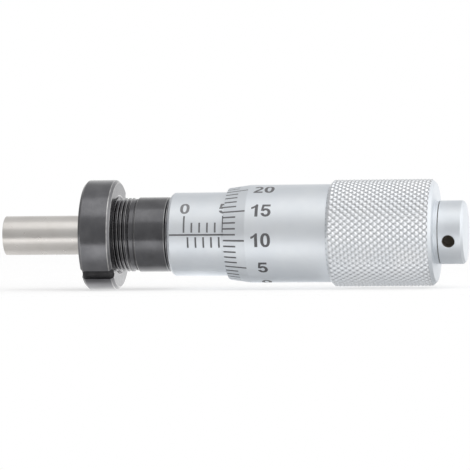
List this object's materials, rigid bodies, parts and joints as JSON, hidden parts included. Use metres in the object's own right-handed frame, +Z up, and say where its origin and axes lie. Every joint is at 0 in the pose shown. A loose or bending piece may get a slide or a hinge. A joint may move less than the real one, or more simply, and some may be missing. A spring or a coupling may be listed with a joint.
{
  "type": "micrometer head",
  "caption": "Micrometer head with a plain stem and clamp nut, graduated sleeve, bevelled graduated thimble with diamond knurl, flat spindle face and cap.",
  "frame": {"origin": "on the spindle's axis at the mounting shoulder, which is the front face of the graduated sleeve", "axes": "+X along the spindle's axis towards the cap, -X out of the measuring face, -Y out of the sleeve's datum line, +Z up"},
  "size_m": [0.0593, 0.014, 0.014],
  "materials": {
    "satin_chrome": "satin chrome plate on turned steel, with dark engraved lines and numerals",
    "black_oxide": "turned steel, blackened",
    "ground_steel": "hardened steel, cylindrically ground",
    "plain_steel": "turned steel, bare"
  },
  "bodies": {
    "stem_body": {"stem": "black_oxide", "graduated_sleeve": "satin_chrome", "adjusting_nut": "plain_steel"},
    "clamp_nut_body": {"clamp_nut": "black_oxide"},
    "spindle_body": {"spindle": "ground_steel"},
    "thimble_body": {"thimble": "satin_chrome", "thimble_cap": "satin_chrome"}
  },
  "joints": [
    {"name": "clamp_nut_travel", "type": "slide", "parent": "stem_body", "child": "clamp_nut_body", "axis": [1, 0, 0], "range_m": [-0.02, 0.002]},
    {"name": "spindle_travel", "type": "slide", "parent": "stem_body", "child": "spindle_body", "axis": [1, 0, 0], "range_m": [-0.00512, 0.0079]},
    {"name": "thimble_turn", "type": "hinge", "parent": "spindle_body", "child": "thimble_body", "pos_m": [0.02, 0, 0], "axis": [1, 0, 0], "range_deg": [-3679.2, 5680.8]}
  ],
  "couplings": [
    {"joint": "spindle_travel", "follows": "thimble_turn", "m_per_rad": 0.000079577}
  ]
}
